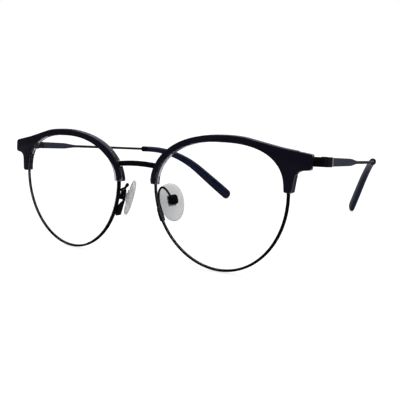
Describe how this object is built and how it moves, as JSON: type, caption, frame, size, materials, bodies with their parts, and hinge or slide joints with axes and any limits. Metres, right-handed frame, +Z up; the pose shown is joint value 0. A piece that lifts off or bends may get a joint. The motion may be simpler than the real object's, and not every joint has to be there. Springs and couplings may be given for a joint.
{
  "type": "eyeglass frame",
  "caption": "Round-lens browline eyeglass frame: acetate brows over thin metal eyewires, with a bridge, hinged temples, nose pads and demo lenses.",
  "frame": {"origin": "middle of the bounding box at the standing plane, with the frame open and standing on the eyewire bottoms and the temple tips", "axes": "+X to the wearer's left across the front, +Y back along the temples, +Z up; the front faces -Y"},
  "size_m": [0.1424, 0.137, 0.0485],
  "materials": {
    "black_metal": "satin black",
    "gunmetal": "brushed blue-grey gunmetal",
    "hinge_metal": "satin dark grey",
    "screw_steel": "bare steel",
    "navy_acetate": "polished, near-black navy",
    "clear_acetate": "polished clear grey",
    "tip_acetate": "polished translucent dark navy",
    "demo_lens": "clear demo lens",
    "pad_plastic": "clear hard plastic",
    "pad_silicone": "clear silicone"
  },
  "bodies": {
    "front": {"left_eyewire": "black_metal", "right_eyewire": "black_metal", "left_lens": "demo_lens", "right_lens": "demo_lens", "left_brow_front": "navy_acetate", "right_brow_front": "navy_acetate", "left_brow_back": "clear_acetate", "right_brow_back": "clear_acetate", "bridge": "black_metal", "left_endpiece": "black_metal", "right_endpiece": "black_metal", "left_rim_lock": "black_metal", "right_rim_lock": "black_metal", "rim_lock_screws": "screw_steel", "brow_screws": "screw_steel", "left_front_hinge": "hinge_metal", "right_front_hinge": "hinge_metal", "hinge_screws": "screw_steel", "left_pad_arm": "black_metal", "right_pad_arm": "black_metal", "left_pad_box": "black_metal", "right_pad_box": "black_metal", "pad_screws": "screw_steel"},
    "left_temple": {"left_temple": "gunmetal", "left_temple_tip": "tip_acetate", "left_temple_hinge": "hinge_metal"},
    "right_temple": {"right_temple": "gunmetal", "right_temple_tip": "tip_acetate", "right_temple_hinge": "hinge_metal"},
    "left_pad": {"left_pad_insert": "pad_plastic", "left_nose_pad": "pad_silicone"},
    "right_pad": {"right_pad_insert": "pad_plastic", "right_nose_pad": "pad_silicone"}
  },
  "joints": [
    {"name": "left_temple_hinge", "type": "hinge", "parent": "front", "child": "left_temple", "pos_m": [0.0683, -0.05231, 0.03957], "axis": [0, 0.1023, 0.9948], "range_deg": [0, 76]},
    {"name": "right_temple_hinge", "type": "hinge", "parent": "front", "child": "right_temple", "pos_m": [-0.0683, -0.05231, 0.03957], "axis": [0, -0.1023, -0.9948], "range_deg": [0, 70]},
    {"name": "left_pad_rocker", "type": "hinge", "parent": "front", "child": "left_pad", "pos_m": [0.01164, -0.06014, 0.02278], "axis": [0.5968, 0.7968, 0.0942], "range_deg": [-6, 6]},
    {"name": "right_pad_rocker", "type": "hinge", "parent": "front", "child": "right_pad", "pos_m": [-0.01164, -0.06014, 0.02278], "axis": [-0.5968, 0.7968, 0.0942], "range_deg": [-6, 6]}
  ]
}
